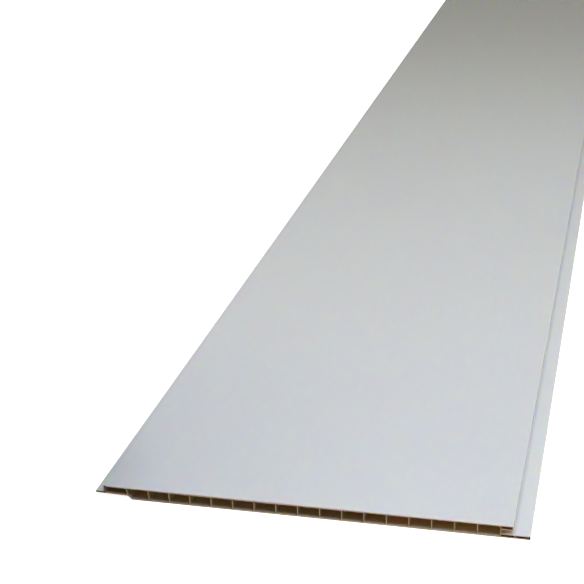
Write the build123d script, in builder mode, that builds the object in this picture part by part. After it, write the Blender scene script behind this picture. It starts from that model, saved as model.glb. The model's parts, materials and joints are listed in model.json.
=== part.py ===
from build123d import *

import os

# One length of hollow white ceiling panel, extruded in one piece, lying on its back with the
# decorative face up. The width runs along X, from the tongue at -X to the flange at +X, the length
# runs along Y, and Z is up. The origin is on the underside, half way across and half way along.

# Overall sizes, in millimetres
cover_width = 250.0  # what one panel covers, from the left edge of the face to the nose of the lip
thickness = 8.0
length = 2700.0

# Walls
top_skin = 0.8
bottom_skin = 0.8
web = 0.6
edge_wall = 0.8  # upright wall under the left edge of the face
floor_wall = 0.8  # floor of the cell behind the tongue
slope_wall = 0.7  # sloped wall under the first full cell
lip_wall = 0.7
nose_wall = 0.6
flange_wall = 0.6
tip_wall = 0.8

# Cells and the walls that lean
cell_pitch = 13.4
edge_wall_lean = 0.7  # to the right, from the face down to the tongue
root_web_lean = 1.2  # to the right, from the face down to the rebate
even_web_leans = (1.1, 0.6)  # of the first webs of the even row, to the right, from the face down
slope_width = 2.5  # of the slope from the rebate down to the underside

# Tongue along the left edge
tongue_reach = 5.2
tongue_tip = 1.0  # thickness of its tip

# Flange along the right edge, which is screwed to the ceiling battens
flange_reach = 10.0  # past the nose of the lip
flange_height = 2.3
flange_rib = 8.3  # middle of its small rib, from the middle of the last web

# Room that two joined panels leave each other
play_over_tongue = 0.9
play_under_tongue = 0.7
play_past_tongue = 1.8
play_over_flange = 0.1  # at the back of the rebate
play_past_flange = 5.7

# Rounded corners
cell_round = 0.3
face_round = 0.4
nose_round = 0.8
inner_round = 0.4
tip_round = 0.35

# Places in the section, from the left edge of the face and from the underside
roof = thickness - top_skin
groove_roof = flange_height + play_under_tongue + tongue_tip + play_over_tongue
groove_back = cover_width - tongue_reach - play_past_tongue
last_web = groove_back - web / 2
rebate_back = flange_reach + play_past_flange
rebate_height = flange_height + play_over_flange
root_web_head = rebate_back - root_web_lean
tongue_underside = flange_height + play_under_tongue
tongue_top = tongue_underside + tongue_tip
flange_tip = cover_width + flange_reach
middle = (flange_tip - tongue_reach) / 2

# The slanted web takes up what the even pitch leaves over, so the first full cell is a bit wider
even_webs = round((last_web - root_web_head) / cell_pitch)
first_web = last_web - (even_webs - 1) * cell_pitch


def beside(start, end, distance):
    """The line from start to end, moved to its left by a distance."""
    run, rise = end[0] - start[0], end[1] - start[1]
    reach = (run**2 + rise**2) ** 0.5
    x, z = -rise / reach * distance, run / reach * distance
    return (start[0] + x, start[1] + z), (end[0] + x, end[1] + z)


def at_height(line, z):
    """The point at height z on a line that isn't level."""
    (ax, az), (bx, bz) = line
    return ax + (z - az) / (bz - az) * (bx - ax), z


def crossing(first, second):
    """The point where two lines cross."""
    (ax, az), (bx, bz) = first
    (cx, cz), (dx, dz) = second
    share = (cx - ax) * (dz - cz) - (cz - az) * (dx - cx)
    share /= (bx - ax) * (dz - cz) - (bz - az) * (dx - cx)
    return ax + share * (bx - ax), az + share * (bz - az)


def web_sides(number):
    """The left and right sides of a web of the even row, counted from the tongue."""
    head = first_web + number * cell_pitch
    lean = even_web_leans[number] if number < len(even_web_leans) else 0
    line = (head, thickness), (head + lean, 0)
    return beside(*line, -web / 2), beside(*line, web / 2)


def corners(sketch, *places):
    """The vertex of a sketch that lies nearest to each place."""
    return [sketch.vertices().sort_by_distance((x, z, 0))[0] for x, z in places]


# Corners of the outline, clockwise from the left edge of the face
face_edge = (0, thickness)
nose_head = (cover_width, thickness)
nose_foot = (cover_width, groove_roof)
groove_head = (groove_back, groove_roof)
groove_foot = (groove_back, flange_height)
flange_head = (flange_tip, flange_height)
flange_foot = (flange_tip, 0)
slope_foot = (rebate_back + slope_width, 0)
slope_head = (rebate_back, rebate_height)
tongue_foot = (-tongue_reach, tongue_underside)
tongue_head = (-tongue_reach, tongue_top)
tongue_root = (edge_wall_lean, tongue_top)

# Inner faces of the walls that aren't upright or level
root_web = ((root_web_head, thickness), slope_head)
edge_inside = beside(face_edge, tongue_root, edge_wall)
root_left = beside(*root_web, -web / 2)
root_right = beside(*root_web, web / 2)
floor_inside = beside(tongue_foot, slope_head, floor_wall)
slope_inside = beside(slope_head, slope_foot, slope_wall)

section_plane = Plane(origin=(-middle, 0, 0), x_dir=(1, 0, 0), z_dir=(0, -1, 0))

with BuildPart() as panel:
    with BuildSketch(section_plane) as section:
        # Outline of the whole panel
        with BuildLine():
            Polyline(
                face_edge,
                nose_head,
                nose_foot,
                groove_head,
                groove_foot,
                flange_head,
                flange_foot,
                slope_foot,
                slope_head,
                tongue_foot,
                tongue_head,
                tongue_root,
                close=True,
            )
        make_face()
        fillet(corners(section, face_edge), face_round)
        fillet(corners(section, nose_head, nose_foot), nose_round)
        fillet(corners(section, groove_head, groove_foot, slope_head, tongue_root), inner_round)
        fillet(corners(section, slope_foot), inner_round)
        fillet(corners(section, tongue_foot, tongue_head, flange_head, flange_foot), tip_round)

        # Cell behind the tongue
        with BuildSketch(mode=Mode.SUBTRACT) as tongue_cell:
            with BuildLine():
                Polyline(
                    at_height(edge_inside, roof),
                    at_height(root_left, roof),
                    crossing(root_left, floor_inside),
                    crossing(edge_inside, floor_inside),
                    close=True,
                )
            make_face()
            fillet(tongue_cell.vertices(), cell_round)

        # First full cell, with the slope in its corner
        with BuildSketch(mode=Mode.SUBTRACT) as slope_cell:
            with BuildLine():
                Polyline(
                    at_height(root_right, roof),
                    at_height(web_sides(0)[0], roof),
                    at_height(web_sides(0)[0], bottom_skin),
                    at_height(slope_inside, bottom_skin),
                    crossing(slope_inside, root_right),
                    close=True,
                )
            make_face()
            fillet(slope_cell.vertices(), cell_round)

        # Even cells
        for number in range(even_webs - 1):
            left, right = web_sides(number)[1], web_sides(number + 1)[0]
            with BuildSketch(mode=Mode.SUBTRACT) as even_cell:
                with BuildLine():
                    Polyline(
                        at_height(left, roof),
                        at_height(right, roof),
                        at_height(right, bottom_skin),
                        at_height(left, bottom_skin),
                        close=True,
                    )
                make_face()
                fillet(even_cell.vertices(), cell_round)

        # Hollow of the lip
        lip_hollow = (groove_back, cover_width - nose_wall, groove_roof + lip_wall, roof)
        # Two hollows of the flange, with a small rib between them
        rib_middle = last_web + flange_rib
        flange_roof = flange_height - flange_wall
        inner_hollow = (groove_back, rib_middle - web / 2, flange_wall, flange_roof)
        outer_hollow = (rib_middle + web / 2, flange_tip - tip_wall, flange_wall, flange_roof)
        for left, right, low, high in (lip_hollow, inner_hollow, outer_hollow):
            with Locations(((left + right) / 2, (low + high) / 2)):
                RectangleRounded(right - left, high - low, cell_round, mode=Mode.SUBTRACT)

    extrude(amount=length / 2, both=True)

panel.part.label = "panel"
os.makedirs("parts", exist_ok=True)
export_step(panel.part, "parts/panel.step")
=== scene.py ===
"""Looks of a hollow white PVC ceiling panel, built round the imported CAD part.

The panel is one extruded length: a glossy face skin, a plain back skin, a row of
even hollow cells between them, a tongue on the left edge and a grooved edge with
a low fixing flange on the right. Both ends are saw cuts. Everything here is in
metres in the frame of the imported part: X across the cover, Y along the length,
Z up from the back skin, and the cut end that the camera sees is at -Y.
"""

from __future__ import annotations

import json
import logging
import math
import random
from dataclasses import dataclass, field
from enum import Enum

import bpy
from mathutils import Matrix, Vector

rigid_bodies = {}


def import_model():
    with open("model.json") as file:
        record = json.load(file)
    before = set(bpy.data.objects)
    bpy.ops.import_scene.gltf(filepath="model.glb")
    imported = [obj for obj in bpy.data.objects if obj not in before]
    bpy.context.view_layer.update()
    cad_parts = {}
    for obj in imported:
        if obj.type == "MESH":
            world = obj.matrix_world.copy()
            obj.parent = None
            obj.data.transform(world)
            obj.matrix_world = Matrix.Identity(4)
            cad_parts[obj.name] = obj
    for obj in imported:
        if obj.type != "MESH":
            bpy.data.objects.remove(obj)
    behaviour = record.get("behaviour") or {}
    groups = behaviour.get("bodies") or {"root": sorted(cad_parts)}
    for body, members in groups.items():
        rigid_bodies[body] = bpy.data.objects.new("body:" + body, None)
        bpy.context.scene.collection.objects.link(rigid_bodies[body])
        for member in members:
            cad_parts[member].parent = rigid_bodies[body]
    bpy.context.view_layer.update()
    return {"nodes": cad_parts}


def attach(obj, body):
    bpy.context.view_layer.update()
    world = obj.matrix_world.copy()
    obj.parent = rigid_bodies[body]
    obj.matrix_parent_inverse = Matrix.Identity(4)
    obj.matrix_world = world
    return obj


LOG = logging.getLogger("ceiling_panel")
MM = 0.001
PANEL_NODE = "panel"
PVC_IOR = 1.53

Span = tuple[float, float]
Point = tuple[float, float, float]
Colour = tuple[float, float, float, float]

WHITE: Colour = (1.0, 1.0, 1.0, 1.0)
BLACK: Colour = (0.0, 0.0, 0.0, 1.0)


class CutEnd(Enum):
    """The two saw cuts, by the sign of Y that each one faces."""

    NEAR = -1
    FAR = 1


class Blend(Enum):
    """How a coat of colour goes over the one below it."""

    COVER = "MIX"
    TINT = "MULTIPLY"


def linear(red: int, green: int, blue: int) -> Colour:
    """Turns a colour as a screen shows it into a shader's linear one, by the sRGB curve.

    Args:
        red: Red, 0 to 255.
        green: Green, 0 to 255.
        blue: Blue, 0 to 255.

    Returns:
        Linear red, green, blue and an alpha of 1.
    """
    parts = []
    for level in (red, green, blue):
        share = level / 255
        parts.append(share / 12.92 if share <= 0.04045 else ((share + 0.055) / 1.055) ** 2.4)
    return (*parts, 1.0)


def clear_selection() -> None:
    """Leaves nothing selected, so that an operator acts only on the new piece."""
    for other in bpy.context.view_layer.objects:
        other.select_set(False)
    bpy.context.view_layer.objects.active = None


# Shader maths


class Signal:
    """A number in a shader, on which Python's operators add Math nodes."""

    def __init__(self, graph: Graph, socket: bpy.types.NodeSocket) -> None:
        """Wraps one output socket of a graph."""
        self.graph = graph
        self.socket = socket

    def _math(self, operation: str, *values: Signal | float) -> Signal:
        """Adds one Math node on these values and returns its result."""
        node = self.graph.node("ShaderNodeMath", {"operation": operation}, dict(enumerate(values)))
        return Signal(self.graph, node.outputs[0])

    def __add__(self, other: Signal | float) -> Signal:
        """Sum."""
        return self._math("ADD", self, other)

    __radd__ = __add__

    def __sub__(self, other: Signal | float) -> Signal:
        """Difference."""
        return self._math("SUBTRACT", self, other)

    def __rsub__(self, other: float) -> Signal:
        """Difference with the number first."""
        return self._math("SUBTRACT", other, self)

    def __mul__(self, other: Signal | float) -> Signal:
        """Product."""
        return self._math("MULTIPLY", self, other)

    __rmul__ = __mul__

    def __abs__(self) -> Signal:
        """Size without sign."""
        return self._math("ABSOLUTE", self)

    def cosine(self) -> Signal:
        """Cosine of an angle in radians."""
        return self._math("COSINE", self)

    def lowest(self, other: Signal | float) -> Signal:
        """The smaller of two values, which is the overlap of two masks."""
        return self._math("MINIMUM", self, other)

    def highest(self, other: Signal | float) -> Signal:
        """The larger of two values, which is the union of two masks."""
        return self._math("MAXIMUM", self, other)

    def rise(self, start: float, end: float) -> Signal:
        """Goes smoothly from 0 at start to 1 at end, or falls where end is lower.

        Args:
            start: Value at which the result is 0.
            end: Value at which the result is 1.

        Returns:
            The eased mask, held at 0 and 1 outside the two values.
        """
        node = self.graph.node(
            "ShaderNodeMapRange",
            {"interpolation_type": "SMOOTHSTEP", "clamp": True},
            {"Value": self, "From Min": min(start, end), "From Max": max(start, end)},
        )
        eased = Signal(self.graph, node.outputs["Result"])
        return eased if end > start else 1 - eased

    def within(self, low: float, high: float, edge: float) -> Signal:
        """1 between low and high, falling to 0 over edge outside them."""
        return self.rise(low - edge, low).lowest(self.rise(high + edge, high))


@dataclass(frozen=True)
class Grain:
    """Cloudy noise on a surface, from 0 to 1."""

    scale: float  # features in a metre
    detail: float  # how many finer layers it has
    roughness: float  # how strong the finer layers are
    stretch: Point | None = None  # scale along each axis, for a grain that runs one way

    MEAN = 0.5


@dataclass(frozen=True)
class Specks:
    """Scattered round dots, as dust and inclusions are."""

    scale: float  # cells in a metre, each with room for one dot
    radius: float  # of a dot, as a share of its cell
    share: float  # of the cells that have a dot
    solid: float = 0.5  # share of a dot's radius that is full
    sure: float = 0.98  # share of the chosen cells whose dot is full


class Graph:
    """The nodes of one material or world."""

    def __init__(self, tree: bpy.types.NodeTree) -> None:
        """Empties a node tree, to be built up again."""
        self.tree = tree
        tree.nodes.clear()

    def node(self, kind: str, settings: dict, sockets: dict) -> bpy.types.Node:
        """Adds one node.

        Args:
            kind: Blender's type name of the node.
            settings: Properties of the node, set before its sockets. The stops of
                a ramp are given as "stops", a list of place and colour.
            sockets: Value, Signal or output socket for each input, by name or number.

        Returns:
            The new node.
        """
        node = self.tree.nodes.new(kind)
        for name, value in settings.items():
            if name == "stops":
                self._fill_ramp(node.color_ramp, value)
            else:
                setattr(node, name, value)
        for name, value in sockets.items():
            if isinstance(value, Signal):
                value = value.socket
            if isinstance(value, bpy.types.NodeSocket):
                self.tree.links.new(value, node.inputs[name])
            else:
                node.inputs[name].default_value = value
        return node

    @staticmethod
    def _fill_ramp(ramp: bpy.types.ColorRamp, stops: list[tuple[float, Colour]]) -> None:
        """Gives a ramp its stops.

        Args:
            ramp: A new ramp, which has two stops.
            stops: Place and colour of each stop, from the lowest place up.
        """
        half_way = 0.5
        while len(ramp.elements) < len(stops):
            ramp.elements.new(half_way)
        for stop, (place, colour) in zip(ramp.elements, stops):
            stop.position, stop.color = place, colour

    def place(self) -> bpy.types.NodeSocket:
        """The point on the object, in metres in the frame."""
        return self.node("ShaderNodeTexCoord", {}, {}).outputs["Object"]

    def axes(self, place: bpy.types.NodeSocket) -> tuple[Signal, Signal, Signal]:
        """The point's X, Y and Z as numbers."""
        split = self.node("ShaderNodeSeparateXYZ", {}, {0: place})
        return tuple(Signal(self, output) for output in split.outputs)

    def noise(self, place: bpy.types.NodeSocket, grain: Grain) -> Signal:
        """Reads a grain at a point.

        Args:
            place: Point at which it is read.
            grain: Size and strength of the noise.

        Returns:
            The noise as a number from 0 to 1.
        """
        if grain.stretch is not None:
            mapped = {"Vector": place, "Scale": grain.stretch}
            place = self.node("ShaderNodeMapping", {}, mapped).outputs[0]
        node = self.node(
            "ShaderNodeTexNoise",
            {"noise_dimensions": "3D"},
            {
                "Vector": place,
                "Scale": grain.scale,
                "Detail": grain.detail,
                "Roughness": grain.roughness,
            },
        )
        return Signal(self, node.outputs[0])

    def dots(self, place: bpy.types.NodeSocket, specks: Specks) -> Signal:
        """Reads scattered dots at a point.

        Args:
            place: Point at which they are read.
            specks: Size and number of the dots.

        Returns:
            1 in a dot and 0 between them.
        """
        node = self.node(
            "ShaderNodeTexVoronoi",
            {"feature": "F1", "distance": "EUCLIDEAN"},
            {"Vector": place, "Scale": specks.scale, "Randomness": 1.0},
        )
        cell = self.node("ShaderNodeSeparateColor", {}, {0: node.outputs["Color"]})
        dot = Signal(self, node.outputs["Distance"]).rise(
            specks.radius, specks.radius * specks.solid
        )
        chosen = Signal(self, cell.outputs[0]).rise(specks.share, specks.share * specks.sure)
        return dot * chosen

    def coat(
        self,
        mask: Signal | float,
        below: bpy.types.NodeSocket | Colour,
        above: bpy.types.NodeSocket | Colour,
        how: Blend = Blend.COVER,
    ) -> bpy.types.NodeSocket:
        """Lays one colour over another.

        Args:
            mask: Where the upper colour shows.
            below: Lower colour.
            above: Upper colour.
            how: Whether the upper colour covers or tints.

        Returns:
            The mixed colour.
        """
        node = self.node(
            "ShaderNodeMix",
            {"data_type": "RGBA", "blend_type": how.value},
            {0: mask, 6: below, 7: above},
        )
        return node.outputs[2]

    def vector(self, operation: str, sockets: dict) -> bpy.types.NodeSocket:
        """Adds one Vector Math node on these values and returns its vector."""
        return self.node("ShaderNodeVectorMath", {"operation": operation}, sockets).outputs[0]

    def bump(
        self, height: Signal, depth: float, below: bpy.types.NodeSocket | None = None
    ) -> bpy.types.NodeSocket:
        """Relief finer than the mesh.

        Args:
            height: Height from 0 to 1.
            depth: Real depth of the relief in metres.
            below: Normal that this relief is added to.

        Returns:
            The normal.
        """
        sockets = {"Strength": 1.0, "Distance": depth, "Height": height}
        if below is not None:
            sockets["Normal"] = below
        return self.node("ShaderNodeBump", {}, sockets).outputs[0]

    def show(self, shader: bpy.types.Node, output: str = "ShaderNodeOutputMaterial") -> None:
        """Ends the graph in a shader, with the output node of a material or world."""
        self.node(output, {}, {"Surface": shader.outputs[0]})


def new_material(name: str) -> tuple[bpy.types.Material, Graph]:
    """Makes an empty material and its graph.

    Args:
        name: Name of the material.

    Returns:
        The material, and the graph to build its nodes in.
    """
    material = bpy.data.materials.new(name)
    material.use_nodes = True
    return material, Graph(material.node_tree)


# Sizes


@dataclass(frozen=True)
class Section:
    """Sizes of the panel's cross-section and length that the looks refer to.

    Distances across are from the left edge of the face, and heights are from the
    back skin, both in metres.
    """

    face_width: float = 250 * MM
    thickness: float = 8 * MM
    half_length: float = 1350 * MM
    skin: float = 0.8 * MM
    web: float = 0.6 * MM
    cell_pitch: float = 13.4 * MM
    web_count: int = 17
    web_of_groove: float = 242.7 * MM  # middle of the last web, where the groove ends
    tongue_reach: float = 5.2 * MM
    tongue_underside: float = 3.0 * MM
    rebate_back: float = 15.7 * MM
    rebate_roof: float = 2.4 * MM
    slope_foot: float = 18.2 * MM
    groove_roof: float = 4.9 * MM
    flange_height: float = 2.3 * MM
    flange_end: float = 260 * MM

    @property
    def middle(self) -> float:
        """The frame's origin, half way from the tongue's tip to the flange's."""
        return (self.flange_end - self.tongue_reach) / 2

    @property
    def first_web(self) -> float:
        """Middle of the first web of the even row."""
        return self.web_of_groove - (self.web_count - 1) * self.cell_pitch

    def across(self, distance: float) -> float:
        """X in the frame of a distance from the face's left edge."""
        return distance - self.middle

    def cells(self) -> list[Span]:
        """Finds the even cells.

        Returns:
            X of the left and the right wall of each cell, from the tongue's side on.
        """
        webs = [self.first_web + number * self.cell_pitch for number in range(self.web_count)]
        half = self.web / 2
        return [
            (self.across(left + half), self.across(right - half))
            for left, right in zip(webs, webs[1:])
        ]


@dataclass
class Surface:
    """The point of the panel that its material colours, and masks that say where it lies."""

    graph: Graph
    section: Section
    cut_reach: Span = (0.06 * MM, 0.02 * MM)  # behind the cut's plane
    soft: float = 0.05 * MM  # width of a mask's edge
    half_wall: float = 0.35 * MM  # from a wall's outside to the edge between the masks
    first_cell: float = 0.9 * MM  # where the cell behind the tongue begins
    end_wall: float = 0.4 * MM  # beyond the hollows of the lip and the flange
    groove_depth: float = 0.5 * MM  # past the last web, in full shade
    groove_fade: float = 4.0 * MM  # from there to full light

    place: bpy.types.NodeSocket = field(init=False)
    x: Signal = field(init=False)
    y: Signal = field(init=False)
    z: Signal = field(init=False)
    from_left: Signal = field(init=False)
    cut: Signal = field(init=False)
    hollow: Signal = field(init=False)
    outside: Signal = field(init=False)

    def __post_init__(self) -> None:
        """Reads the point and makes the three masks that every look needs."""
        self.place = self.graph.place()
        self.x, self.y, self.z = self.graph.axes(self.place)
        self.from_left = self.x + self.section.middle
        self.cut = self.towards_cut(self.cut_reach)
        self.hollow = self._hollow()
        self.outside = (1 - self.cut) * (1 - self.hollow)

    def towards_cut(self, reach: Span) -> Signal:
        """Goes from 0 to 1 between two distances behind either saw cut."""
        far, near = (self.section.half_length - distance for distance in reach)
        return abs(self.y).rise(far, near)

    def past(self, line: float, reach: Span) -> Signal:
        """Goes from 0 to 1 between two distances to the right of a line along the panel."""
        return self.from_left.rise(line + reach[0], line + reach[1])

    def above(self, height: float) -> Signal:
        """1 above a height and 0 below it, with a soft edge."""
        return self.z.rise(height - self.soft, height + self.soft)

    def _hollow(self) -> Signal:
        """Finds the insides of the cells, and the shaded back of the groove.

        Returns:
            1 on the inner walls and 0 outside.
        """
        section, half_wall, soft = self.section, self.half_wall, self.soft
        last_web = section.web_of_groove
        tongue_fall = (section.tongue_underside - section.rebate_roof) / section.rebate_back
        slope_fall = section.rebate_roof / (section.slope_foot - section.rebate_back)
        under_tongue = section.tongue_underside - self.from_left * tongue_fall
        under_slope = (section.slope_foot - self.from_left) * slope_fall
        underside = under_tongue.lowest(under_slope).highest(0.0)

        cells = self.from_left.within(self.first_cell, last_web, soft).lowest(
            (self.z - underside).rise(half_wall, half_wall + soft)
        )
        lip_floor = section.groove_roof + half_wall
        lip = self.from_left.within(last_web, section.face_width - self.end_wall, soft).lowest(
            self.z.rise(lip_floor - soft, lip_floor)
        )
        flange = self.from_left.within(last_web, section.flange_end - self.end_wall, soft).lowest(
            self.z.within(half_wall, section.flange_height - half_wall, soft)
        )
        shade = self.from_left.within(last_web, last_web + self.groove_depth, self.groove_fade)
        groove = shade.lowest(self.z.within(section.flange_height - half_wall, lip_floor, soft))
        roof = section.thickness - half_wall
        under_face = self.z.rise(roof, roof - soft)
        return under_face.lowest(cells.highest(lip).highest(flange).highest(groove))


# Finishes


@dataclass(frozen=True)
class PvcFinish:
    """Extruded white PVC: glossy outside, duller where it is hollow or cut, and creamier there:
    painted warm shade, in the cut partly the core's own cream.
    """

    name: str = "white_pvc"

    # Colours of the outside, painted light and shade among them, and how strongly the tints and
    # the dust show
    face: Colour = linear(225, 229, 231)
    # painted light: the flange is the face's plastic, painted lighter than the face
    flange: Colour = linear(233, 234, 233)
    # painted shade: a slightly darker band on the flange at the foot of the lip, where the lip's
    # shade falls
    step_shade: Colour = linear(240, 241, 241)
    # painted highlight: the face is painted lighter and pinker just behind each cut, as the glow
    # of light along the cut edge
    edge_glow: Colour = linear(255, 232, 223)
    clouded: Colour = linear(205, 205, 200)
    streaked: Colour = linear(190, 186, 176)
    speck: Colour = linear(150, 146, 140)
    edge_glow_strength: float = 0.8
    cloud_strength: float = 0.10
    cloud_level: float = 0.03  # where the clouds are even
    streak_strength: float = 0.02
    speck_strength: float = 0.5

    # Painted shade of the cells' walls: warm tan deep inside, darker in the mouths and towards the
    # left, and red in the low hollows
    inside_left: Colour = linear(198, 188, 138)
    inside_right: Colour = linear(236, 206, 152)
    mouth_shade_left: Colour = linear(170, 158, 138)
    mouth_shade_right: Colour = linear(192, 182, 158)
    # painted shade: the low hollows are painted dark red, as the redder light their walls pass to
    # each other
    hollow_red_shade: Colour = linear(168, 96, 74)
    narrow_in_lip: float = 0.55  # how much of that colour the lip's hollow has
    narrow_by_tongue: float = 0.3  # and the cell behind the tongue

    # Colours of the saw cut, with painted light and shade on it
    # partly painted shade: tan, partly the core's cream and partly warm shade
    cut_core: Colour = linear(224, 199, 160)
    # painted light: the face skin's cut, lighter and pinker than the core, as light glowing
    # through the skin
    cut_cap_lit: Colour = linear(252, 232, 222)
    # painted shade: the cut at the tongue's tip and the flange's tip
    cut_tip_shade: Colour = linear(96, 98, 96)
    # painted shade: the back skin's cut, darker towards the left
    cut_back_shade_left: Colour = linear(196, 193, 178)
    cut_back_right: Colour = linear(226, 214, 198)

    # Light that soaks into the plastic
    soak: float = 1.0
    soak_depth: float = 1.3 * MM
    soak_colour: Point = (1.0, 0.62, 0.25)

    # Gloss
    face_roughness: float = 0.16
    back_roughness: float = 0.34
    inside_roughness: float = 0.5
    cut_roughness: float = 0.7
    cloud_roughness: float = 0.06
    scuff_roughness: float = 0.05

    # Relief
    orange_peel: float = 0.004 * MM
    read_through: float = 0.006 * MM
    die_line: float = 0.004 * MM
    saw_mark: float = 0.05 * MM
    eased_edge: float = 1.6
    eased_depth: float = 0.3  # share of the face skin, from the top, that leans fully

    # Grains
    clouds: Grain = Grain(9.0, 3.0, 0.55)
    peel: Grain = Grain(330.0, 1.0, 0.4)
    streaks: Grain = Grain(420.0, 3.0, 0.6, stretch=(1.0, 0.012, 1.0))
    scuffs: Grain = Grain(900.0, 2.0, 0.7, stretch=(1.0, 0.05, 1.0))
    saw_lines: Grain = Grain(1.0, 3.0, 0.65, stretch=(260.0, 900.0, 2600.0))
    dust: Specks = Specks(scale=46.0, radius=0.022, share=0.16)
    streak_levels: Span = (0.45, 0.85)
    scuff_levels: Span = (0.62, 0.78)

    # Distances behind the cuts, where a look is still absent and where it is full
    # painted highlight along the face's edge at the cuts
    edge_glow_reach: Span = (1.8 * MM, 0.3 * MM)
    # painted shade in the cells' mouths
    mouth_shade_reach: Span = (6.5 * MM, 2.0 * MM)

    # The same, past the nose of the lip and past the flange's tip
    flange_reach: Span = (0.0, 0.2 * MM)
    # painted shade beside the lip's nose
    step_shade_reach: Span = (2.4 * MM, 0.3 * MM)
    flange_tip_reach: Span = (-1.0 * MM, -0.8 * MM)

    # The same, from the left edge of the face
    wall_reach: Span = (150 * MM, 215 * MM)
    back_reach: Span = (30 * MM, 150 * MM)
    tongue_tip_reach: Span = (1.6 * MM, 1.2 * MM)

    # Heights between which the face's gloss gives way to the back's
    back_gloss: Span = (0.3 * MM, 0.1 * MM)

    # Edges of the mask of the low hollows
    narrow_edge: float = 0.1 * MM
    groove_margin: float = 0.3 * MM
    tongue_fade: float = 1.0 * MM

    def build(self, section: Section) -> bpy.types.Material:
        """Makes the material.

        Args:
            section: Sizes that say which surface is face, hollow or cut.

        Returns:
            The material, ready for a slot.
        """
        material, graph = new_material(self.name)
        at = Surface(graph, section)
        cloud = graph.noise(at.place, self.clouds) - Grain.MEAN
        streak = graph.noise(at.place, self.streaks)
        shader = graph.node(
            "ShaderNodeBsdfPrincipled",
            {},
            {
                "Base Color": self._colour(at, cloud, streak),
                "Roughness": self._roughness(at, cloud),
                "IOR": PVC_IOR,
                "Normal": self._relief(at, streak),
                "Subsurface Weight": self.soak,
                "Subsurface Radius": self.soak_colour,
                "Subsurface Scale": self.soak_depth,
            },
        )
        graph.show(shader)
        return material

    def _colour(self, at: Surface, cloud: Signal, streak: Signal) -> bpy.types.NodeSocket:
        """Lays the colours over each other, from the plain skin to the dust on it, with painted
        light and shade among them.

        Args:
            at: The point and its masks.
            cloud: Broad unevenness, above and below 0.
            streak: Fine lines along the panel.

        Returns:
            The colour of the point.
        """
        graph, nose = at.graph, at.section.face_width
        past_lip = at.past(nose, self.flange_reach)
        # painted shade on the flange at the foot of the lip
        step_shaded = at.past(nose, self.step_shade_reach).lowest(past_lip)
        # painted highlight along the face's edge at the cuts
        edge_glowing = at.towards_cut(self.edge_glow_reach) * self.edge_glow_strength
        clouded = cloud * self.cloud_strength * at.outside + self.cloud_level
        streaked = streak.rise(*self.streak_levels) * self.streak_strength
        dusty = graph.dots(at.place, self.dust) * at.outside * self.speck_strength

        # painted light: the flange is painted lighter than the face
        colour = graph.coat(past_lip, self.face, self.flange)
        colour = graph.coat(step_shaded, colour, self.step_shade, Blend.TINT)
        colour = graph.coat(edge_glowing, colour, self.edge_glow)
        # painted shade in the hollows and at the back of the groove
        colour = graph.coat(at.hollow, colour, self._walls(at))
        # the saw cut's colours, with its painted light and shade
        colour = graph.coat(at.cut, colour, self._sawn(at))
        colour = graph.coat(clouded, colour, self.clouded, Blend.TINT)
        colour = graph.coat(streaked, colour, self.streaked, Blend.TINT)
        return graph.coat(dusty, colour, self.speck)

    def _walls(self, at: Surface) -> bpy.types.NodeSocket:
        """Colours the walls of the hollows with painted warm shade, lighter deep inside and
        towards the flange.

        Args:
            at: The point and its masks.

        Returns:
            The colour of the walls.
        """
        rightwards = at.past(0.0, self.wall_reach)
        inside = at.graph.coat(rightwards, self.inside_left, self.inside_right)
        # painted shade: the mouths darker than deep inside
        mouth_shade = at.graph.coat(rightwards, self.mouth_shade_left, self.mouth_shade_right)
        walls = at.graph.coat(at.towards_cut(self.mouth_shade_reach), inside, mouth_shade)
        return at.graph.coat(self._narrow(at), walls, self.hollow_red_shade)

    def _narrow(self, at: Surface) -> Signal:
        """Finds the low hollows, whose walls pass a redder light to each other; that light is
        painted into their colour as a dark red.

        Args:
            at: The point and its masks.

        Returns:
            1 in the flange's hollows, and partly in the lip's and in the cell behind the tongue.
        """
        section, margin = at.section, self.groove_margin
        past_last_web = at.past(section.web_of_groove, (0.0, self.narrow_edge))
        groove = at.z.within(
            section.flange_height - margin, section.groove_roof + margin, self.narrow_edge
        )
        lip = at.z.rise(section.flange_height, section.groove_roof)
        low = past_last_web.lowest(1 - groove) * (1 - lip * (1 - self.narrow_in_lip))
        behind_tongue = at.past(section.rebate_back, (0.0, -self.tongue_fade))
        return low.highest(behind_tongue * self.narrow_by_tongue)

    def _sawn(self, at: Surface) -> bpy.types.NodeSocket:
        """Colours the saw cut with painted light and shade: a face skin painted lighter
        and pinker as if lit through, a tan core that is partly the plastic's cream and
        partly painted warm shade, and tips painted dark as shade.

        The cut of the back skin is painted darker towards the left, as shade.

        Args:
            at: The point and its masks.

        Returns:
            The colour of the cut.
        """
        section, graph = at.section, at.graph
        face_skin = at.above(section.thickness - section.skin)
        flange_skin = at.past(section.face_width, (-at.soft, at.soft)).lowest(
            at.above(section.flange_height - section.web)
        )
        # painted shade at the tips of the tongue and the flange
        tips = at.past(0.0, self.tongue_tip_reach).highest(
            at.past(section.flange_end, self.flange_tip_reach)
        )
        # painted shade on the back skin's cut, darker towards the left
        rightwards = at.past(0.0, self.back_reach)
        back = graph.coat(rightwards, self.cut_back_shade_left, self.cut_back_right)
        colour = graph.coat(face_skin.highest(flange_skin), self.cut_core, self.cut_cap_lit)
        colour = graph.coat(1 - at.above(section.skin), colour, back)
        return graph.coat(tips, colour, self.cut_tip_shade)

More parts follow.
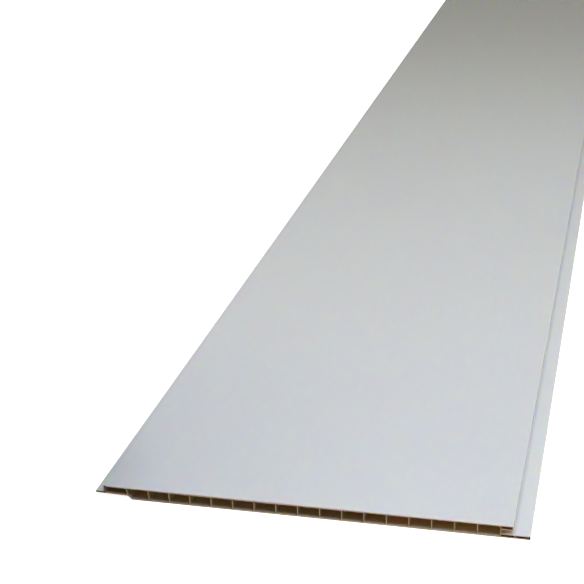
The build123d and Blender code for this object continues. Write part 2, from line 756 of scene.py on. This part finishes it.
    def _roughness(self, at: Surface, cloud: Signal) -> Signal:
        """Makes the face glossy and slightly scuffed, and the rest duller.

        Args:
            at: The point and its masks.
            cloud: Broad unevenness, above and below 0.

        Returns:
            The roughness of the point.
        """
        back = at.z.rise(*self.back_gloss)
        gloss = back * (self.back_roughness - self.face_roughness) + self.face_roughness
        scuff = at.graph.noise(at.place, self.scuffs).rise(*self.scuff_levels)
        worn = cloud * self.cloud_roughness + scuff * self.scuff_roughness
        return (
            at.outside * (gloss + worn)
            + at.hollow * (1 - at.cut) * self.inside_roughness
            + at.cut * self.cut_roughness
        )

    def _relief(self, at: Surface, streak: Signal) -> bpy.types.NodeSocket:
        """Adds orange peel, the webs' read-through, die lines and saw marks to the normal.

        Args:
            at: The point and its masks.
            streak: Fine lines along the panel.

        Returns:
            The normal of the point.
        """
        graph, section = at.graph, at.section
        from_web = at.x - section.across(section.first_web)
        ribs = (from_web * (math.tau / section.cell_pitch)).cosine()
        peel = graph.noise(at.place, self.peel)
        saw = graph.noise(at.place, self.saw_lines)
        relief = graph.bump(peel * at.outside, self.orange_peel, self._eased(at))
        relief = graph.bump(ribs * at.outside, self.read_through, relief)
        relief = graph.bump(streak * (1 - at.cut), self.die_line, relief)
        return graph.bump(saw * at.cut, self.saw_mark, relief)

    def _eased(self, at: Surface) -> bpy.types.NodeSocket:
        """Rounds the normal over where the saw cut meets the face.

        Args:
            at: The point and its masks.

        Returns:
            The normal, leaning up towards the face on the face skin's cut.
        """
        graph, section = at.graph, at.section
        full = section.thickness - self.eased_depth * section.skin
        lean = at.z.rise(section.thickness - section.skin, full) * at.cut * self.eased_edge
        up = graph.node("ShaderNodeCombineXYZ", {}, {"Z": lean}).outputs[0]
        normal = graph.node("ShaderNodeNewGeometry", {}, {}).outputs["Normal"]
        return graph.vector("NORMALIZE", {0: graph.vector("ADD", {0: normal, 1: up})})


@dataclass(frozen=True)
class TornPvcFinish:
    """The thin torn plastic that a saw leaves along its cut."""

    name: str = "torn_pvc"
    # painted light: the torn plastic is tinted pink, as the warm glow along the cut
    colour: Colour = linear(242, 214, 198)
    bright: Colour = linear(250, 230, 218)
    mottle: Grain = Grain(1800.0, 3.0, 0.6)
    bright_levels: Span = (0.35, 0.7)
    roughness: float = 0.62
    mottle_roughness: float = 0.15
    relief: float = 0.03 * MM

    def build(self) -> bpy.types.Material:
        """Makes the material.

        Returns:
            The material, ready for a slot.
        """
        material, graph = new_material(self.name)
        mottle = graph.noise(graph.place(), self.mottle)
        brighter = mottle.rise(*self.bright_levels)
        shader = graph.node(
            "ShaderNodeBsdfPrincipled",
            {},
            {
                "Base Color": graph.coat(brighter, self.colour, self.bright),
                "Roughness": mottle * self.mottle_roughness + self.roughness,
                "IOR": PVC_IOR,
                "Normal": graph.bump(mottle, self.relief),
            },
        )
        graph.show(shader)
        return material


# The panel


@dataclass
class ExtrudedPanel:
    """The extruded length itself, which is the CAD node with its real finish."""

    section: Section
    finish: PvcFinish = field(default_factory=PvcFinish)

    def dress(self, node: bpy.types.Object) -> bpy.types.Material:
        """Gives the CAD node the PVC finish.

        Args:
            node: The CAD node of the panel.

        Returns:
            The material that it now has.
        """
        material = self.finish.build(self.section)
        for slot in node.material_slots:
            slot.material = material
        if not node.material_slots:
            node.data.materials.append(material)
        return material


@dataclass
class SawBurr:
    """The ragged fringe of torn plastic that the saw leaves in the mouths of the cells."""

    section: Section
    end: CutEnd
    material: bpy.types.Material
    seed: int = 11
    thick: float = 0.09 * MM
    tooth_step: float = 0.22 * MM
    rooted: float = 0.3 * MM  # how far it reaches up into the face skin
    sunk: float = 0.12 * MM  # behind the cut's plane
    long: float = 0.42 * MM  # what the longest teeth add to the shortest
    reach: Span = (0.4, 1.0)  # share of that length which the teeth of one cell use
    sharpness: float = 2.2  # a higher one leaves fewer long teeth
    stray: Span = (-0.04 * MM, 0.10 * MM)  # how far a tooth bends into the cell

    # Distance from the face's left edge, and length of the shortest teeth there
    short: tuple[Span, ...] = (
        (45 * MM, 0.24 * MM),
        (80 * MM, 0.37 * MM),
        (130 * MM, 0.33 * MM),
        (150 * MM, 0.25 * MM),
        (210 * MM, 0.03 * MM),
    )

    def build(self) -> bpy.types.Object:
        """Makes the fringe of every cell of one cut and joins them.

        Returns:
            The finished fringe.
        """
        draw = random.Random(self.seed + self.end.value)
        strips = [self._fringe(left, right, draw) for left, right in self.section.cells()]
        clear_selection()
        for strip in strips:
            strip.select_set(True)
        bpy.context.view_layer.objects.active = strips[0]
        bpy.ops.object.join()
        piece = bpy.context.view_layer.objects.active
        piece.name = piece.data.name = f"saw_burr_{self.end.name.lower()}"
        return piece

    def _short_at(self, from_left: float) -> float:
        """How far the fringe hangs at least, at a distance from the face's left edge.

        Args:
            from_left: Distance across the panel.

        Returns:
            The length of its shortest teeth, read between the stops of `short`.
        """
        place, length = self.short[0]
        for next_place, next_length in self.short[1:]:
            share = min(1.0, max(0.0, (from_left - place) / (next_place - place)))
            length += (next_length - length) * share
            place = next_place
        return length

    def _fringe(self, left: float, right: float, draw: random.Random) -> bpy.types.Object:
        """Makes the torn edge under the face skin of one cell.

        Args:
            left: X of the cell's left wall.
            right: X of its right wall.
            draw: Seeded random numbers.

        Returns:
            The strip, closed and as thick as the torn skin.
        """
        width = right - left
        ceiling = self.section.thickness - self.section.skin
        half_way = ceiling + self.rooted / 2
        face_y = self.end.value * (self.section.half_length - self.sunk)
        clear_selection()
        bpy.ops.mesh.primitive_grid_add(
            x_subdivisions=round(width / self.tooth_step),
            y_subdivisions=1,
            size=1.0,
            location=((left + right) / 2, face_y, half_way),
            rotation=(math.pi / 2, 0.0, 0.0),
        )
        strip = bpy.context.view_layer.objects.active
        strip.scale = (width, self.rooted, 1.0)
        bpy.ops.object.transform_apply(location=True, rotation=True, scale=True)

        lower = [vertex for vertex in strip.data.vertices if vertex.co.z < half_way]
        longest = draw.uniform(*self.reach) * self.long
        shortest = self._short_at(left + self.section.middle)
        for vertex in sorted(lower, key=lambda v: v.co.x):
            tooth = draw.random() ** self.sharpness
            vertex.co.z = ceiling - shortest - longest * tooth
            vertex.co.y -= self.end.value * draw.uniform(*self.stray)

        solid = strip.modifiers.new("skin", "SOLIDIFY")
        solid.thickness = self.thick
        solid.offset = 0.0
        bpy.ops.object.modifier_apply(modifier=solid.name)
        strip.data.materials.append(self.material)
        return strip


# The studio


@dataclass(frozen=True)
class PhotoCamera:
    """The camera at the photograph's angle, as the panel's edges and webs fix it."""

    place: Point = (0.174765, -2.110837, 0.452911)
    right: Point = (0.974273, 0.224719, -0.017222)
    down: Point = (0.066927, -0.361462, -0.929983)
    ahead: Point = (-0.215205, 0.904905, -0.367197)
    lens: float = 92.213
    sensor: float = 36.0
    nearest: float = 0.01
    farthest: float = 100.0

    def build(self) -> bpy.types.Object:
        """Makes the camera and gives it to the scene.

        Returns:
            The camera.
        """
        data = bpy.data.cameras.new("photo_camera")
        data.lens, data.sensor_width = self.lens, self.sensor
        data.clip_start, data.clip_end = self.nearest, self.farthest
        camera = bpy.data.objects.new("photo_camera", data)
        bpy.context.scene.collection.objects.link(camera)
        up, back = ([-part for part in axis] for axis in (self.down, self.ahead))
        camera.location = self.place
        camera.rotation_euler = Matrix((self.right, up, back)).transposed().to_euler()
        bpy.context.scene.camera = camera
        return camera


@dataclass(frozen=True)
class Lamp:
    """One soft area lamp."""

    name: str
    place: Point
    aim: Point
    size: float
    power: float
    colour: Point
    spread: float = math.pi

    def build(self) -> bpy.types.Object:
        """Makes the lamp, turned towards its aim.

        Returns:
            The lamp.
        """
        data = bpy.data.lights.new(self.name, "AREA")
        data.shape, data.size, data.spread = "DISK", self.size, self.spread
        data.energy, data.color = self.power, self.colour
        lamp = bpy.data.objects.new(self.name, data)
        lamp.location = self.place
        ahead = Vector(self.aim) - Vector(self.place)
        lamp.rotation_euler = ahead.to_track_quat("-Z", "Y").to_euler()
        bpy.context.scene.collection.objects.link(lamp)
        return lamp


@dataclass(frozen=True)
class Sheet:
    """One flat square or oblong of the studio, such as its floor."""

    name: str
    place: Point
    size: Span
    turn: Point = (0.0, 0.0, 0.0)
    unseen_by: tuple[str, ...] = ()

    def build(self, material: bpy.types.Material) -> bpy.types.Object:
        """Makes the sheet.

        Args:
            material: What it is made of.

        Returns:
            The sheet, hidden from the rays that don't see it.
        """
        clear_selection()
        bpy.ops.mesh.primitive_plane_add(size=1.0, location=self.place, rotation=self.turn)
        sheet = bpy.context.view_layer.objects.active
        sheet.scale = (*self.size, 1.0)
        bpy.ops.object.transform_apply(location=True, rotation=True, scale=True)
        sheet.name = self.name
        sheet.data.materials.append(material)
        for ray in self.unseen_by:
            setattr(sheet, f"visible_{ray}", False)
        return sheet


@dataclass(frozen=True)
class Studio:
    """A white floor and background, soft lamps, a dim card and a small black flag.

    The card stands beyond the far end, seen only in the gloss of the face, where
    the darker side of the room is reflected at a low angle. The flag keeps some
    light from the corner at the tongue.
    """

    lamps: tuple[Lamp, ...] = (
        Lamp(
            name="key",
            place=(0.35, -1.65, 1.6),
            aim=(0.30, -1.65, 0.0),
            size=1.0,
            power=20.8,
            colour=(0.742, 0.785, 0.985),
        ),
        Lamp(
            name="far",
            place=(0.10, 1.50, 1.6),
            aim=(0.05, 1.50, 0.0),
            size=1.4,
            power=2.6,
            colour=(0.725, 0.785, 0.99),
            spread=math.radians(75.0),
        ),
    )
    floor_size: float = 80.0
    floor_white: Colour = (0.86, 0.86, 0.86, 1.0)
    floor_glow: float = 0.89
    floor_bounce: Colour = linear(150, 134, 116)
    sky: Point = (0.486, 0.443, 0.337)
    sky_lean: float = 0.5
    flag_place: Point = (-0.216, -1.323, 0.091)
    flag_lean: float = math.radians(50.0)
    flag_turn: float = math.radians(-62.0)
    flag_size: float = 0.25
    card_place: float = 1.9
    card_wide: float = 8.0
    card_tall: float = 3.6

    # Height on the card, and its glow there
    card_glow: tuple[tuple[float, Colour], ...] = (
        (0.40, BLACK),
        (0.55, (0.18, 0.195, 0.21, 1.0)),
        (0.80, (0.34, 0.357, 0.383, 1.0)),
        (1.20, (0.316, 0.288, 0.263, 1.0)),
        (1.90, BLACK),
    )

    def build(self) -> None:
        """Sets up the whole studio."""
        self._world()
        self._floor()
        self._card()
        self._flag()
        for lamp in self.lamps:
            lamp.build()

    @staticmethod
    def _seen(graph: Graph) -> Signal:
        """Tells what is looked at from the light that only spreads.

        Args:
            graph: Graph of the material or world that is looked at.

        Returns:
            1 for what the camera, a mirror or glass sees, and 0 for light that spreads.
        """
        path = graph.node("ShaderNodeLightPath", {}, {})
        names = ("Is Camera Ray", "Is Glossy Ray", "Is Transmission Ray")
        camera, mirror, glass = (Signal(graph, path.outputs[name]) for name in names)
        return camera.highest(mirror).highest(glass)

    def _world(self) -> None:
        """Makes the background: white where it is seen, and soft light elsewhere."""
        world = bpy.data.worlds.new("studio")
        world.use_nodes = True
        bpy.context.scene.world = world
        graph = Graph(world.node_tree)
        direction = graph.node("ShaderNodeTexCoord", {}, {}).outputs["Generated"]
        _, along, _ = graph.axes(direction)
        glow = graph.vector("SCALE", {0: self.sky, "Scale": along * self.sky_lean + 1.0})
        shown = graph.coat(self._seen(graph), glow, WHITE)
        background = graph.node("ShaderNodeBackground", {}, {"Color": shown, "Strength": 1.0})
        graph.show(background, "ShaderNodeOutputWorld")

    def _floor(self) -> None:
        """Makes the floor, which shows white with the panel's shadow on it."""
        material, graph = new_material("studio_floor")
        white = graph.node("ShaderNodeBsdfDiffuse", {}, {"Color": self.floor_white})
        glow = graph.node("ShaderNodeEmission", {}, {"Color": WHITE, "Strength": self.floor_glow})
        both = graph.node("ShaderNodeAddShader", {}, {0: white.outputs[0], 1: glow.outputs[0]})
        bounce = graph.node("ShaderNodeBsdfDiffuse", {}, {"Color": self.floor_bounce})
        mixed = {0: self._seen(graph), 1: bounce.outputs[0], 2: both.outputs[0]}
        graph.show(graph.node("ShaderNodeMixShader", {}, mixed))
        floor = Sheet(
            name="studio_floor",
            place=(0.0, 0.0, 0.0),
            size=(self.floor_size, self.floor_size),
        ).build(material)

    def _card(self) -> None:
        """Makes the dim card, whose soft band of light lies across the middle of the face."""
        material, graph = new_material("dim_card")
        _, _, height = graph.axes(graph.place())
        stops = [(place / self.card_tall, colour) for place, colour in self.card_glow]
        up_card = height * (1 / self.card_tall)
        ramp = graph.node("ShaderNodeValToRGB", {"stops": stops}, {0: up_card})
        dim = {"Color": ramp.outputs[0], "Strength": 1.0}
        graph.show(graph.node("ShaderNodeEmission", {}, dim))
        card = Sheet(
            name="dim_card",
            place=(0.0, self.card_place, self.card_tall / 2),
            size=(self.card_wide, self.card_tall),
            turn=(math.pi / 2, 0.0, 0.0),
            unseen_by=("camera", "diffuse", "transmission", "volume_scatter", "shadow"),
        ).build(material)

    def _flag(self) -> None:
        """Makes the black flag that dims the corner at the tongue, unseen itself."""
        material, graph = new_material("black_flag")
        graph.show(graph.node("ShaderNodeBsdfDiffuse", {}, {"Color": BLACK}))
        flag = Sheet(
            name="black_flag",
            place=self.flag_place,
            size=(self.flag_size, self.flag_size),
            turn=(self.flag_lean, 0.0, self.flag_turn),
            unseen_by=("camera", "glossy", "transmission", "volume_scatter"),
        ).build(material)


# The build


def main() -> None:
    """Builds the looks in order: camera, studio, panel, then the saw's traces."""
    logging.basicConfig(level=logging.INFO, format="%(name)s: %(message)s")
    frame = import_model()
    bpy.context.scene.view_settings.view_transform = "Standard"

    PhotoCamera().build()
    Studio().build()
    LOG.info("camera and studio are up")

    section = Section()
    ExtrudedPanel(section).dress(frame["nodes"][PANEL_NODE])
    LOG.info("%s has its finish", PANEL_NODE)

    torn = TornPvcFinish().build()
    for end in CutEnd:
        burr = SawBurr(section, end, torn).build()
        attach(burr, "root") or burr
        LOG.info("%s: %d faces", burr.name, len(burr.data.polygons))


if __name__ == "__main__":
    main()
